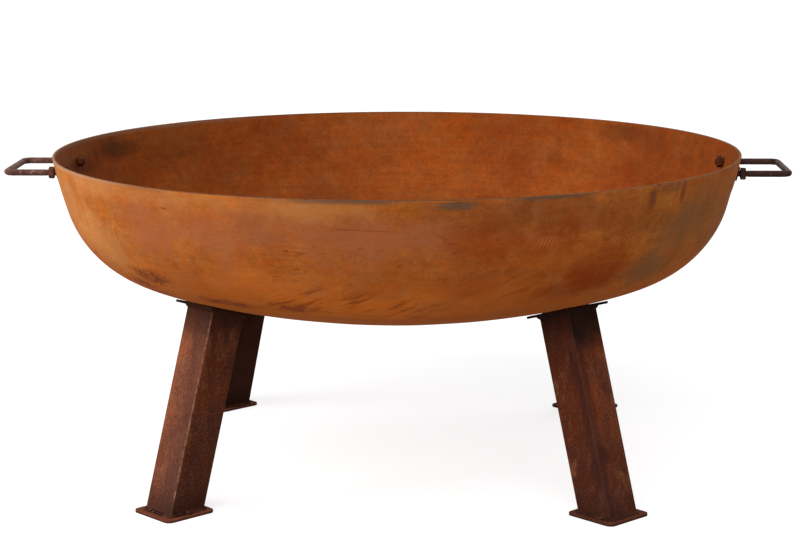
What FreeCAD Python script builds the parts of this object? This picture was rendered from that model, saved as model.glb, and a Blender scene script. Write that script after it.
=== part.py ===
import FreeCAD, Part
import math
import os

from FreeCAD import Placement, Rotation, Vector

# A round steel fire bowl on four splayed square legs, with two bent rod handles bolted through its wall.
# Millimetres and degrees. The origin is on the ground under the middle of the bowl, +Z is up, the handles
# lie along X and the legs stand on the diagonals. Front is -Y and left is -X.

# Bowl
rim_diameter = 864.0
bowl_depth = 205.0
ground_clearance = 196.0
bowl_wall = 3.0
rim_draft = 12.1
side_radius = 735.0
knuckle_radius = 128.0
crown_radius = 1050.0
rim_edge_round = 0.8
drain_hole_diameter = 12.0

# Legs: square tube, a flat plate at each end, welded all round, set in from the rim
leg_set_in = 138.0
first_leg_azimuth = 45.0
tube_side = 50.0
tube_wall = 2.0
tube_corner_radius = 4.0
top_plate_side = 70.0
top_plate_thickness = 3.0
top_plate_corner_radius = 2.0
foot_plate_side = 70.0
foot_plate_thickness = 3.0
foot_plate_corner_radius = 8.0
weld_leg = 4.0
weld_toe = 0.4

# Handles: one bent round rod each, threaded at its ends for M8 nuts
handle_width = 114.0
handle_reach = 60.0
handle_drop = 23.0
rod_diameter = 8.0
rod_bend_radius = 10.0
rod_stickout = 2.5
rod_end_chamfer = 0.8
rod_nut_height = 6.5
rod_nut_across_flats = 13.0
rod_washer_diameter = 18.0
rod_washer_thickness = 1.6

# Leg bolts, M8, with large washers and a nut welded inside each tube
bolt_diameter = 8.0
bolt_head_height = 5.3
bolt_across_flats = 13.0
bolt_stickout = 3.0
bolt_end_chamfer = 0.8
weld_nut_height = 6.5
bolt_washer_diameter = 24.0
bolt_washer_thickness = 2.0

hex_chamfer_angle = 30.0

# Clearances
seat_clearance = 0.1
thread_clearance = 0.1
hole_clearance = 0.5
washer_clearance = 0.2

# Values that follow from the sizes above
rim_radius = rim_diameter / 2
rim_height = ground_clearance + bowl_depth
crown_centre = Vector(0, 0, ground_clearance + crown_radius)
draft = math.radians(rim_draft)
side_centre = Vector(rim_radius, 0, rim_height) + Vector(-math.cos(draft), 0, math.sin(draft)) * side_radius
leg_seat_radius = rim_radius - leg_set_in
leg_lean = math.degrees(math.asin(leg_seat_radius / crown_radius))
handle_height = rim_height - handle_drop
up = Vector(0, 0, 1)
along_rod = Vector(1, 0, 0)
origin = Vector(0, 0, 0)

leg_turns = {
    "back_right": first_leg_azimuth,
    "back_left": first_leg_azimuth + 90,
    "front_left": first_leg_azimuth + 180,
    "front_right": first_leg_azimuth + 270,
}
handle_turns = {"right": 0.0, "left": 180.0}


# Small helpers

def save(name, shape):
    """Write one node."""
    shape.exportStep(os.path.join("parts", name + ".step"))


def turned(shape, degrees):
    """A copy of the shape turned about the bowl's axis."""
    copy = shape.copy()
    copy.rotate(origin, up, degrees)
    return copy


def unit(vector):
    return vector / vector.Length


def rounded_rectangle(length, width, radius, z):
    """Closed wire round the Z axis with sides along X and Y, at height z."""
    x = length / 2
    y = width / 2
    c = radius * (1 - math.sqrt(0.5))
    corners = [(1, 1), (-1, 1), (-1, -1), (1, -1)]
    edges = []
    last = None
    for index, (sx, sy) in enumerate(corners):
        on_side = Vector(sx * x, sy * (y - radius), z)
        on_end = Vector(sx * (x - radius), sy * y, z)
        middle = Vector(sx * (x - c), sy * (y - c), z)
        start, finish = (on_side, on_end) if index % 2 == 0 else (on_end, on_side)
        if last is not None:
            edges.append(Part.makeLine(last, start))
        else:
            first = start
        edges.append(Part.Arc(start, middle, finish).toShape())
        last = finish
    edges.append(Part.makeLine(last, first))
    return Part.Wire(edges)


def rounded_prism(side, radius, z_low, z_high):
    """Square bar or plate with rounded corners, between two heights."""
    face = Part.Face(rounded_rectangle(side, side, radius, z_low))
    return face.extrude(Vector(0, 0, z_high - z_low))


def corner_radius_of(across_flats):
    """Distance of a hexagon's corners from its middle."""
    return across_flats / 2 / math.cos(math.radians(30))


def hexagon_prism(across_flats, height, chamfer_bottom):
    """Hexagon standing on z = 0 with its corners turned down at the top, and at the bottom if asked."""
    face_radius = across_flats / 2
    corner_radius = corner_radius_of(across_flats)
    points = []
    for step in range(7):
        angle = math.radians(60 * step)
        points.append(Vector(corner_radius * math.cos(angle), corner_radius * math.sin(angle), 0))
    prism = Part.Face(Part.makePolygon(points)).extrude(Vector(0, 0, height))
    fall = (corner_radius - face_radius) * math.tan(math.radians(hex_chamfer_angle))
    outline = [Vector(0, 0, 0)]
    if chamfer_bottom:
        outline.append(Vector(face_radius, 0, 0))
        outline.append(Vector(corner_radius, 0, fall))
    else:
        outline.append(Vector(corner_radius, 0, 0))
    outline.append(Vector(corner_radius, 0, height - fall))
    outline.append(Vector(face_radius, 0, height))
    outline.append(Vector(0, 0, height))
    outline.append(Vector(0, 0, 0))
    turning = Part.Face(Part.makePolygon(outline)).revolve(origin, up, 360)
    return prism.common(turning)


def hexagon_nut(thread_diameter, across_flats, height):
    bore = Part.makeCylinder(thread_diameter / 2 + thread_clearance, height)
    return hexagon_prism(across_flats, height, True).cut(bore)


def flat_washer(diameter, thickness, bore_diameter):
    disc = Part.makeCylinder(diameter / 2, thickness)
    return disc.cut(Part.makeCylinder(bore_diameter / 2, thickness))


# Bowl: side, knuckle and crown are three arcs that run into each other, turned about Z

def knuckle_place():
    """Centre of the knuckle arc, touching the side arc and the crown arc from within."""
    from_side = side_radius - knuckle_radius
    from_crown = crown_radius - knuckle_radius
    between = crown_centre - side_centre
    distance = between.Length
    along = (from_side ** 2 - from_crown ** 2 + distance ** 2) / (2 * distance)
    across = math.sqrt(from_side ** 2 - along ** 2)
    ahead = unit(between)
    beside = Vector(ahead.z, 0, -ahead.x)
    return side_centre + ahead * along + beside * across


knuckle_centre = knuckle_place()
to_side = unit(knuckle_centre - side_centre)
to_crown = unit(knuckle_centre - crown_centre)


def wall_radius(z, inset):
    """Distance of the side wall from the bowl's axis at height z, outside or inset into the wall."""
    return side_centre.x + math.sqrt((side_radius - inset) ** 2 - (side_centre.z - z) ** 2)


def arc_about(centre, radius, start, finish):
    middle = centre + unit((start - centre) + (finish - centre)) * radius
    return Part.Arc(start, middle, finish).toShape()


def bowl_line(inset):
    """Edges from the bottom of the bowl up to its rim, outside or inset into the wall."""
    bottom = crown_centre - up * (crown_radius - inset)
    crown_end = knuckle_centre + to_crown * (knuckle_radius - inset)
    side_start = knuckle_centre + to_side * (knuckle_radius - inset)
    rim = Vector(wall_radius(rim_height, inset), 0, rim_height)
    crown = arc_about(crown_centre, crown_radius - inset, bottom, crown_end)
    knuckle = arc_about(knuckle_centre, knuckle_radius - inset, crown_end, side_start)
    side = arc_about(side_centre, side_radius - inset, side_start, rim)
    return [crown, knuckle, side], bottom, rim


def make_bowl():
    outside, outer_bottom, outer_rim = bowl_line(0)
    inside, inner_bottom, inner_rim = bowl_line(bowl_wall)
    lip = Part.makeLine(outer_rim, inner_rim)
    axis = Part.makeLine(inner_bottom, outer_bottom)
    section = Part.Face(Part.Wire(Part.__sortEdges__(outside + [lip] + inside + [axis])))
    bowl = section.revolve(origin, up, 360)
    rim_edges = []
    for edge in bowl.Edges:
        box = edge.BoundBox
        if box.ZMin > rim_height - seat_clearance and box.ZLength < seat_clearance and edge.Closed:
            rim_edges.append(edge)
    bowl = bowl.makeFillet(min(rim_edge_round, bowl_wall / 3), rim_edges)
    holes = [Part.makeCylinder(drain_hole_diameter / 2, 4 * bowl_wall, outer_bottom - up * bowl_wall)]
    for turn in leg_turns.values():
        hole = Part.makeCylinder(bolt_diameter / 2 + hole_clearance, 4 * bowl_wall, -up * bowl_wall)
        hole.Placement = leg_place
        holes.append(turned(hole, turn))
    for turn in handle_turns.values():
        for side in (-1, 1):
            start = Vector(rod_end_x(), side * handle_width / 2, handle_height)
            hole = Part.makeCylinder(rod_hole_diameter() / 2, rim_radius - rod_end_x(), start, along_rod)
            holes.append(turned(hole, turn))
    return bowl.cut(holes)


# Legs: built along their own axis, square to the crown, then leant out and turned into place

lean_rotation = Rotation(Vector(0, 1, 0), -leg_lean)
leg_axis_down = lean_rotation.multVec(-up)
leg_place = Placement(crown_centre + leg_axis_down * crown_radius, lean_rotation)
plate_underside = -(seat_clearance + top_plate_thickness)


def placed_on_leg(shape):
    copy = shape.copy()
    copy.Placement = leg_place.multiply(copy.Placement)
    return copy


def leg_axis_at(z):
    """Point of the leg's axis at height z."""
    return crown_centre + leg_axis_down * ((crown_centre.z - z) / -leg_axis_down.z)


def make_top_plate():
    plate = rounded_prism(top_plate_side, top_plate_corner_radius, plate_underside, -seat_clearance)
    hole_radius = bolt_diameter / 2 + hole_clearance
    hole = Part.makeCylinder(hole_radius, top_plate_thickness, Vector(0, 0, plate_underside))
    return placed_on_leg(plate.cut(hole))


def tube_prism(side, radius):
    """Solid square bar along the leg's axis, from the top plate down through the ground."""
    below_ground = -2 * (ground_clearance + bowl_depth)
    return placed_on_leg(rounded_prism(side, radius, below_ground, plate_underside))


def make_tube():
    """Tube cut off level with the top of the foot plate."""
    bore_side = tube_side - 2 * tube_wall
    bore_radius = max(tube_corner_radius - tube_wall, tube_wall / 4)
    tube = tube_prism(tube_side, tube_corner_radius).cut(tube_prism(bore_side, bore_radius))
    span = 4 * rim_diameter
    above_foot = Part.makeBox(span, span, span, Vector(-span / 2, -span / 2, foot_plate_thickness))
    return tube.common(above_foot)


def make_foot_plate():
    plate = rounded_prism(foot_plate_side, foot_plate_corner_radius, 0, foot_plate_thickness)
    plate.translate(Vector(leg_axis_at(0).x, 0, 0))
    return plate


def make_top_weld():
    """Fillet of weld metal round the tube, against the underside of the top plate."""
    rings = []
    for z, grow in ((plate_underside - weld_leg, weld_toe), (plate_underside, weld_leg)):
        side = tube_side + 2 * grow
        rings.append(rounded_rectangle(side, side, tube_corner_radius + grow, z))
    bead = Part.makeLoft(rings, True, True)
    return placed_on_leg(bead).cut(tube_prism(tube_side, tube_corner_radius))


def make_foot_weld():
    """Fillet of weld metal round the leaning tube, on top of the foot plate."""
    level_length = tube_side / math.cos(math.radians(leg_lean))
    rings = []
    for height, grow in ((0, weld_leg), (weld_leg, weld_toe)):
        corner_radius = tube_corner_radius + grow
        ring = rounded_rectangle(level_length + 2 * grow, tube_side + 2 * grow, corner_radius, 0)
        ring.translate(leg_axis_at(foot_plate_thickness + height))
        rings.append(ring)
    return Part.makeLoft(rings, True, True).cut(tube_prism(tube_side, tube_corner_radius))


# Leg bolts: from inside the bowl through a washer, the bowl and the top plate into a nut welded in the tube

def inside_washer_seat():
    """Height on the leg's axis where the rim of a flat washer meets the hollow of the bowl."""
    hollow_radius = crown_radius - bowl_wall
    return crown_radius - math.sqrt(hollow_radius ** 2 - (bolt_washer_diameter / 2) ** 2) + seat_clearance


def make_bolt_washer():
    washer = flat_washer(bolt_washer_diameter, bolt_washer_thickness, bolt_diameter + 2 * washer_clearance)
    washer.translate(Vector(0, 0, inside_washer_seat()))
    return placed_on_leg(washer)


def make_weld_nut():
    nut = hexagon_nut(bolt_diameter, bolt_across_flats, weld_nut_height)
    nut.translate(Vector(0, 0, plate_underside - weld_nut_height))
    return placed_on_leg(nut)


def make_bolt():
    head_seat = inside_washer_seat() + bolt_washer_thickness
    head = hexagon_prism(bolt_across_flats, bolt_head_height, False)
    head.translate(Vector(0, 0, head_seat))
    tip = plate_underside - weld_nut_height - bolt_stickout
    shank = Part.makeCylinder(bolt_diameter / 2, head_seat - tip, Vector(0, 0, tip))
    tip_edges = [edge for edge in shank.Edges if edge.Closed and edge.BoundBox.ZMax < tip + seat_clearance]
    shank = shank.makeChamfer(bolt_end_chamfer, tip_edges)
    return placed_on_leg(head.fuse(shank).removeSplitter())


# Handles: a rod bent twice, level, with a washer and a nut outside the wall and a nut inside

def wall_normal(y):
    """Outward unit normal of the wall where a rod at this y goes through."""
    radius = wall_radius(handle_height, 0)
    x = math.sqrt(radius ** 2 - y ** 2)
    slope = (side_centre.z - handle_height) / side_radius
    level = math.sqrt(1 - slope ** 2)
    return Vector(x / radius * level, y / radius * level, -slope)


def crossing_x(inset):
    """Where the axis of a rod meets the wall, outside or inset into the wall."""
    return math.sqrt(wall_radius(handle_height, inset) ** 2 - (handle_width / 2) ** 2)


def rod_tilt():
    """Angle between a rod and the wall's normal, in radians."""
    return math.acos(wall_normal(handle_width / 2).x)


def rod_hole_diameter():
    return rod_diameter + 2 * hole_clearance


def outer_nut_x():
    """Inner face of the outside nut: its low corner clears the sloping face of the washer."""
    corner_radius = corner_radius_of(rod_nut_across_flats)
    proud = 2 * seat_clearance + rod_washer_thickness + corner_radius * math.sin(rod_tilt())
    return crossing_x(0) + proud / math.cos(rod_tilt())


def inner_nut_x():
    """Inner end of the inside nut: its near corner clears the sloping, hollow wall."""
    corner_radius = corner_radius_of(rod_nut_across_flats)
    hollow = corner_radius ** 2 / (2 * wall_radius(handle_height, bowl_wall))
    proud = seat_clearance + hollow + corner_radius * math.sin(rod_tilt())
    return crossing_x(bowl_wall) - proud / math.cos(rod_tilt()) - rod_nut_height


def rod_end_x():
    return inner_nut_x() - rod_stickout


def make_handle():
    tip = rod_end_x()
    grip = rim_radius + handle_reach - rod_diameter / 2
    half = handle_width / 2
    bend = rod_bend_radius
    short = bend * (1 - math.sqrt(0.5))
    z = handle_height
    first_run = Part.makeLine(Vector(tip, -half, z), Vector(grip - bend, -half, z))
    first_bend = Part.Arc(Vector(grip - bend, -half, z), Vector(grip - short, -half + short, z),
                          Vector(grip, -half + bend, z)).toShape()
    grip_run = Part.makeLine(Vector(grip, -half + bend, z), Vector(grip, half - bend, z))
    last_bend = Part.Arc(Vector(grip, half - bend, z), Vector(grip - short, half - short, z),
                         Vector(grip - bend, half, z)).toShape()
    last_run = Part.makeLine(Vector(grip - bend, half, z), Vector(tip, half, z))
    path = Part.Wire([first_run, first_bend, grip_run, last_bend, last_run])
    section = Part.Wire(Part.makeCircle(rod_diameter / 2, Vector(tip, -half, z), along_rod))
    rod = path.makePipeShell([section], True, False)
    tip_edges = [edge for edge in rod.Edges if edge.Closed and edge.BoundBox.XMax < tip + seat_clearance]
    return rod.makeChamfer(rod_end_chamfer, tip_edges)


def along_x(shape, x, y):
    """A shape built up from z = 0, laid along +X with its base at x, on a rod's axis."""
    copy = shape.copy()
    copy.Placement = Placement(Vector(x, y, handle_height), Rotation(up, along_rod))
    return copy


def make_outer_nuts():
    nut = hexagon_nut(rod_diameter, rod_nut_across_flats, rod_nut_height)
    return Part.makeCompound([along_x(nut, outer_nut_x(), side * handle_width / 2) for side in (-1, 1)])


def make_inner_nuts():
    nut = hexagon_nut(rod_diameter, rod_nut_across_flats, rod_nut_height)
    return Part.makeCompound([along_x(nut, inner_nut_x(), side * handle_width / 2) for side in (-1, 1)])


def make_outer_washers():
    """Washers lying flush on the wall, with a bore wide enough for the rod to pass aslant."""
    tilt = rod_tilt()
    passage = rod_diameter / math.cos(tilt) + rod_washer_thickness * math.tan(tilt)
    bore = passage + 2 * washer_clearance
    washers = []
    for side in (-1, 1):
        y = side * handle_width / 2
        normal = wall_normal(y)
        washer = flat_washer(rod_washer_diameter, rod_washer_thickness, bore)
        to_middle = (seat_clearance + rod_washer_thickness / 2) / math.cos(tilt)
        middle = Vector(crossing_x(0) + to_middle, y, handle_height)
        washer.Placement = Placement(middle - normal * (rod_washer_thickness / 2), Rotation(up, normal))
        washers.append(washer)
    return Part.makeCompound(washers)


# Build every node

os.makedirs("parts", exist_ok=True)
save("bowl", make_bowl())

leg_pieces = {
    "leg_tube": make_tube(),
    "leg_top_plate": make_top_plate(),
    "leg_foot_plate": make_foot_plate(),
    "leg_top_weld": make_top_weld(),
    "leg_foot_weld": make_foot_weld(),
    "leg_bolt": make_bolt(),
    "leg_bolt_washer": make_bolt_washer(),
    "leg_weld_nut": make_weld_nut(),
}
for piece, shape in leg_pieces.items():
    for place, turn in leg_turns.items():
        save(piece + "_" + place, turned(shape, turn))

handle_pieces = {
    "handle": make_handle(),
    "handle_outer_washers": make_outer_washers(),
    "handle_outer_nuts": make_outer_nuts(),
    "handle_inner_nuts": make_inner_nuts(),
}
for piece, shape in handle_pieces.items():
    for place, turn in handle_turns.items():
        save(piece + "_" + place, turned(shape, turn))
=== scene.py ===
import bpy
import bmesh
import math
import random
from mathutils import Matrix, Vector, noise


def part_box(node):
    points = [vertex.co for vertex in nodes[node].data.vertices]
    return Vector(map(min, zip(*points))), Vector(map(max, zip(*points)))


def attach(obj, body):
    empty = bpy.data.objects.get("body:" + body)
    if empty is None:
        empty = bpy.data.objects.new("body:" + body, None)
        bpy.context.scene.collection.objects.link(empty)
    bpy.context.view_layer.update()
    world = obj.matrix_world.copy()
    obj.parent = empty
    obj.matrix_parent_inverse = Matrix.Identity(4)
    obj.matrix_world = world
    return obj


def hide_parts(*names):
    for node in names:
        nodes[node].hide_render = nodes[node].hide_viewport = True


# A rusted steel fire bowl on four splayed legs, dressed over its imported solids. Metres, +Z up, front is -Y.

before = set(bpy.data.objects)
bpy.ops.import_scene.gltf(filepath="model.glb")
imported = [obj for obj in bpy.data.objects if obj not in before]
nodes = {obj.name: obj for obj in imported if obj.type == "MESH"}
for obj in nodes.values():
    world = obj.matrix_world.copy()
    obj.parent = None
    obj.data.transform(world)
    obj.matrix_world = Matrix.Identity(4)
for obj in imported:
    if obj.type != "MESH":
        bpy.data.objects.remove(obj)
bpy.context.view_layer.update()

# Sizes and turns that the solids were built with
RIM_RADIUS = 0.432
RIM_HEIGHT = 0.401
GROUND_CLEARANCE = 0.196
WALL = 0.003
RIM_DRAFT = math.radians(12.1)
SIDE_RADIUS = 0.735
KNUCKLE_RADIUS = 0.128
CROWN_RADIUS = 1.050
LIP_ROUND = 0.0008
DRAIN_RADIUS = 0.006
LEG_SET_IN = 0.138
TUBE_SIDE = 0.050
TUBE_CORNER = 0.004
PLATE_THICKNESS = 0.003
FOOT_PLATE_SIDE = 0.070
SEAT_GAP = 0.0001
WELD_LEG = 0.004
HANDLE_HALF = 0.057
HANDLE_DROP = 0.023
ROD_RADIUS = 0.004
ROD_BEND = 0.010
ROD_CHAMFER = 0.0008
WASHER_RADIUS = 0.009
LEG_TURNS = {"back_right": 45, "back_left": 135, "front_left": 225, "front_right": 315}
HANDLE_SIDES = {"left": -1, "right": 1}

# Places that follow from them
LEG_SEAT_RADIUS = RIM_RADIUS - LEG_SET_IN
HANDLE_HEIGHT = RIM_HEIGHT - HANDLE_DROP
LEAN = math.asin(LEG_SEAT_RADIUS / CROWN_RADIUS)
CROWN_Z = GROUND_CLEARANCE + CROWN_RADIUS
SIDE_X = RIM_RADIUS - SIDE_RADIUS * math.cos(RIM_DRAFT)
SIDE_Z = RIM_HEIGHT + SIDE_RADIUS * math.sin(RIM_DRAFT)

# Dents of the bowl, its swells (scale, height, shift), and the share of a seat's radius that both fade over
DENT_COUNT = 46
DENT_SEED = 11
DENT_HEIGHTS = (0.27, 0.38)
DENT_RADII = (0.018, 0.045)
DENT_DEPTHS = (0.0003, 0.0009)
SWELLS = ((7.0, 0.0007, (0, 0, 0)), (19.0, 0.0003, (3, 0, 0)))
SEAT_FADE = 0.6

# Weld beads: lengths, shares of the bead's size, and places in the noise that makes them uneven
RIPPLE_LENGTH = 0.0032
BEAD_SPACING = 0.0006
BEAD_ROOT = 0.0002
BEAD_BODY = 0.68
BEAD_RIPPLE = 0.18
BEAD_WOBBLE = 0.14
BEAD_HOLLOW = 0.16
RIPPLE_DROP = 0.75
WOBBLE_SCALE = 160
WOBBLE_STEP = 3.7
WOBBLE_SHIFT = 1.3
FOOT_BEAD_SEED = 5

# Weld spatter: its spread, the margins that it keeps, and how high and flat each drop is for its radius
SPATTER_COUNT = 16
SPATTER_SEED = 30
SPATTER_REACH = (0.0006, 0.004)
SPATTER_RADII = (0.0004, 0.0011)
SPATTER_EDGE = 0.003
SPATTER_CORNER = 0.006
SPATTER_RISE = 0.1
SPATTER_FLAT = 0.7

# Threads and unevenness of the handle rods
THREAD_PITCH = 0.00125
THREAD_DEPTH = 0.0007
THREAD_SPARE = 0.003
ROD_UNEVEN = 0.00006
UNEVEN_SCALE = 260

# Steps of the meshes, with the thread's steps for each turn
BOWL_SEGMENTS = 360
CROWN_STEPS = 44
KNUCKLE_STEPS = 26
SIDE_STEPS = 30
LIP_STEPS = 4
CORNER_STEPS = 8
BEAD_STEPS = 8
ROD_SEGMENTS = 28
THREAD_STEPS = 8
PLAIN_STEPS = 24
BEND_STEPS = 16
GRIP_STEPS = 40

# Limits of the paints: useful part of a cloud, soft edge of a blot, half width of the change from the left
# side to the right, and heights between the feet and the tops of the legs
CLOUD_LOW = 0.25
CLOUD_HIGH = 0.75
BLOT_OUTER = 1.2
BLOT_INNER = 0.3
STAIN_RAGGED = 2.2
SMEAR_RAGGED = 1.6
SIDE_BLUR = 0.05
FEET_END = 0.10
TOPS_START = 0.18

# Stains of the bowl by colour, in display values: azimuth, height, half width, half height, strength
OUTSIDE_STAINS = {
    # Ochre low in front
    (196, 104, 40): [
        (-92, 0.27, 0.14, 0.022, 0.6), (-76, 0.288, 0.1, 0.024, 0.35), (-107, 0.295, 0.1, 0.022, 0.5),
        (-41, 0.318, 0.05, 0.018, 0.4), (-150, 0.33, 0.06, 0.03, 0.25), (110, 0.28, 0.14, 0.02, 0.5)],
    # Bright rust along the bottom in front
    (206, 107, 32): [(-101, 0.268, 0.12, 0.022, 0.5), (-84, 0.268, 0.12, 0.02, 0.4)],
    # Dull pink in the upper half
    (148, 83, 50): [
        (-131, 0.367, 0.035, 0.026, 0.6), (-130, 0.343, 0.038, 0.03, 0.65), (-104, 0.366, 0.1, 0.03, 0.45),
        (-92, 0.356, 0.1, 0.034, 0.6), (-83, 0.362, 0.05, 0.026, 0.6), (-117, 0.354, 0.08, 0.03, 0.6),
        (60, 0.34, 0.12, 0.04, 0.45), (165, 0.35, 0.12, 0.04, 0.4)],
    # Tan at the far left and along the rim in front of it, partly a painted highlight on the side turned to
    # the light
    (182, 122, 68): [
        (-160, 0.355, 0.1, 0.055, 0.5), (-146, 0.32, 0.06, 0.045, 0.6), (-143, 0.392, 0.07, 0.016, 0.55),
        (-128, 0.393, 0.08, 0.015, 0.3), (-112, 0.393, 0.09, 0.015, 0.2), (-99, 0.388, 0.07, 0.018, 0.4),
        (100, 0.35, 0.14, 0.04, 0.4), (10, 0.31, 0.1, 0.03, 0.35)],
    # Umber under the rim, most at the right
    (112, 58, 26): [
        (-64, 0.378, 0.1, 0.026, 0.45), (-52, 0.372, 0.08, 0.026, 0.25), (-73, 0.376, 0.08, 0.026, 0.4),
        (-45, 0.358, 0.05, 0.024, 0.25), (-84, 0.388, 0.05, 0.014, 0.3), (-109, 0.362, 0.05, 0.03, 0.2),
        (40, 0.375, 0.14, 0.024, 0.5), (140, 0.38, 0.12, 0.02, 0.5)],
    # Oxblood round the right leg
    (134, 52, 8): [
        (-62, 0.325, 0.08, 0.034, 0.4), (-53, 0.303, 0.06, 0.03, 0.75), (-58, 0.285, 0.07, 0.022, 0.72),
        (-66, 0.35, 0.09, 0.026, 0.35), (-76, 0.298, 0.05, 0.022, 0.4), (-78, 0.353, 0.04, 0.02, 0.45),
        (-70, 0.345, 0.06, 0.026, 0.25), (-57, 0.366, 0.06, 0.018, 0.45),
        (30, 0.32, 0.12, 0.04, 0.45), (130, 0.31, 0.12, 0.04, 0.45)],
    # Olive towards the right handle, partly painted shade on the side turned from the light
    (118, 80, 48): [
        (-37, 0.34, 0.07, 0.036, 0.55), (-32, 0.362, 0.07, 0.03, 0.4), (-42, 0.296, 0.05, 0.026, 0.7),
        (-20, 0.335, 0.08, 0.05, 0.35), (80, 0.3, 0.12, 0.03, 0.4)],
    # Plum along the bottom at the left
    (92, 50, 34): [
        (-135, 0.287, 0.03, 0.01, 0.45), (-141, 0.272, 0.035, 0.01, 0.45), (-138, 0.259, 0.04, 0.008, 0.5),
        (-122, 0.264, 0.05, 0.007, 0.45), (-116, 0.262, 0.05, 0.006, 0.4), (-106, 0.263, 0.045, 0.007, 0.4),
        (45, 0.275, 0.1, 0.014, 0.5), (150, 0.272, 0.1, 0.012, 0.5)],
}
INSIDE_STAINS = {
    # Tan under the rim at the left
    (128, 74, 30): [
        (172, 0.388, 0.09, 0.016, 0.5), (-176, 0.384, 0.08, 0.02, 0.4), (142, 0.388, 0.08, 0.014, 0.35)],
    # Soot behind the left handle and at the back on the right
    (46, 31, 18): [
        (157, 0.38, 0.06, 0.016, 0.6), (172, 0.37, 0.07, 0.012, 0.4), (140, 0.368, 0.09, 0.028, 0.2),
        (46, 0.386, 0.06, 0.016, 0.35), (36, 0.384, 0.06, 0.02, 0.15)],
}

# Places of the smears and marks outside: azimuth, height, half width and, where it varies, half height
CURLED_SMEARS = (
    (-136, 0.289, 0.036, 0.012), (-133, 0.284, 0.032, 0.01), (-140, 0.267, 0.045, 0.012),
    (-122, 0.265, 0.045, 0.009), (-117, 0.262, 0.04, 0.008), (-106, 0.264, 0.045, 0.009))
LOW_STREAKS = (
    (-107, 0.27, 0.06), (-99, 0.282, 0.05), (-91, 0.272, 0.07), (-82, 0.264, 0.06), (-72, 0.296, 0.05))
RIM_RUNS = ((-46, 0.385, 0.0085), (-38.5, 0.386, 0.0065))
RUBBED_RIM = ((-64, RIM_HEIGHT, 0.06), (-95, RIM_HEIGHT, 0.08))
DASH_CLUSTERS = (
    (-52, 0.37, 0.05), (-57, 0.376, 0.05), (-47, 0.322, 0.05), (-102, 0.345, 0.05), (-94, 0.34, 0.05))


# Small helpers

def srgb(red, green, blue):
    """A colour given in display values from 0 to 255, as linear RGBA."""
    def linear(value):
        value /= 255
        return value / 12.92 if value <= 0.04045 else ((value + 0.055) / 1.055) ** 2.4
    return (linear(red), linear(green), linear(blue), 1.0)


def placed(name, data):
    """A new object in the scene."""
    made = bpy.data.objects.new(name, data)
    bpy.context.scene.collection.objects.link(made)
    return made


def fresh_tree(owner):
    """The emptied node tree of a material or a world."""
    owner.use_nodes = True
    owner.node_tree.nodes.clear()
    return owner.node_tree


def dressed(name, mesh, slot, *replaced):
    """A new piece of the object, riding on its one body."""
    piece = placed(name, mesh)
    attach(piece, "root")
    if replaced:
        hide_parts(*replaced)
    return piece


def settled(shape, mesh, *materials):
    """A mesh made from a shape, with its materials, smooth apart from caps of more than four corners."""
    shape.to_mesh(mesh)
    shape.free()
    for face in mesh.polygons:
        face.use_smooth = len(face.vertices) <= 4
    for material in materials:
        mesh.materials.append(material)
    return mesh


def ring_mesh(name, rings, closed, *materials):
    """Mesh over rings of points, facing out. Its last ring joins the first, or else both ends are capped."""
    size = len(rings[0])
    faces = []
    for i in range(len(rings) if closed else len(rings) - 1):
        below = i * size
        above = (i + 1) % len(rings) * size
        for j in range(size):
            k = (j + 1) % size
            faces.append((below + j, below + k, above + k, above + j))
    mesh = bpy.data.meshes.new(name)
    mesh.from_pydata([point for ring in rings for point in ring], [], faces)
    shape = bmesh.new()
    shape.from_mesh(mesh)
    if not closed:
        bmesh.ops.holes_fill(shape, edges=[edge for edge in shape.edges if edge.is_boundary])
    bmesh.ops.recalc_face_normals(shape, faces=shape.faces)
    return settled(shape, mesh, *materials)


def on_wall(azimuth, height, inset=0.0):
    """Point of the bowl's side wall at an azimuth in degrees and a height."""
    radius = SIDE_X + math.sqrt((SIDE_RADIUS - inset) ** 2 - (SIDE_Z - height) ** 2)
    angle = math.radians(azimuth)
    return (radius * math.cos(angle), radius * math.sin(angle), height)


# Materials are built from nodes by a small painter

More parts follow.
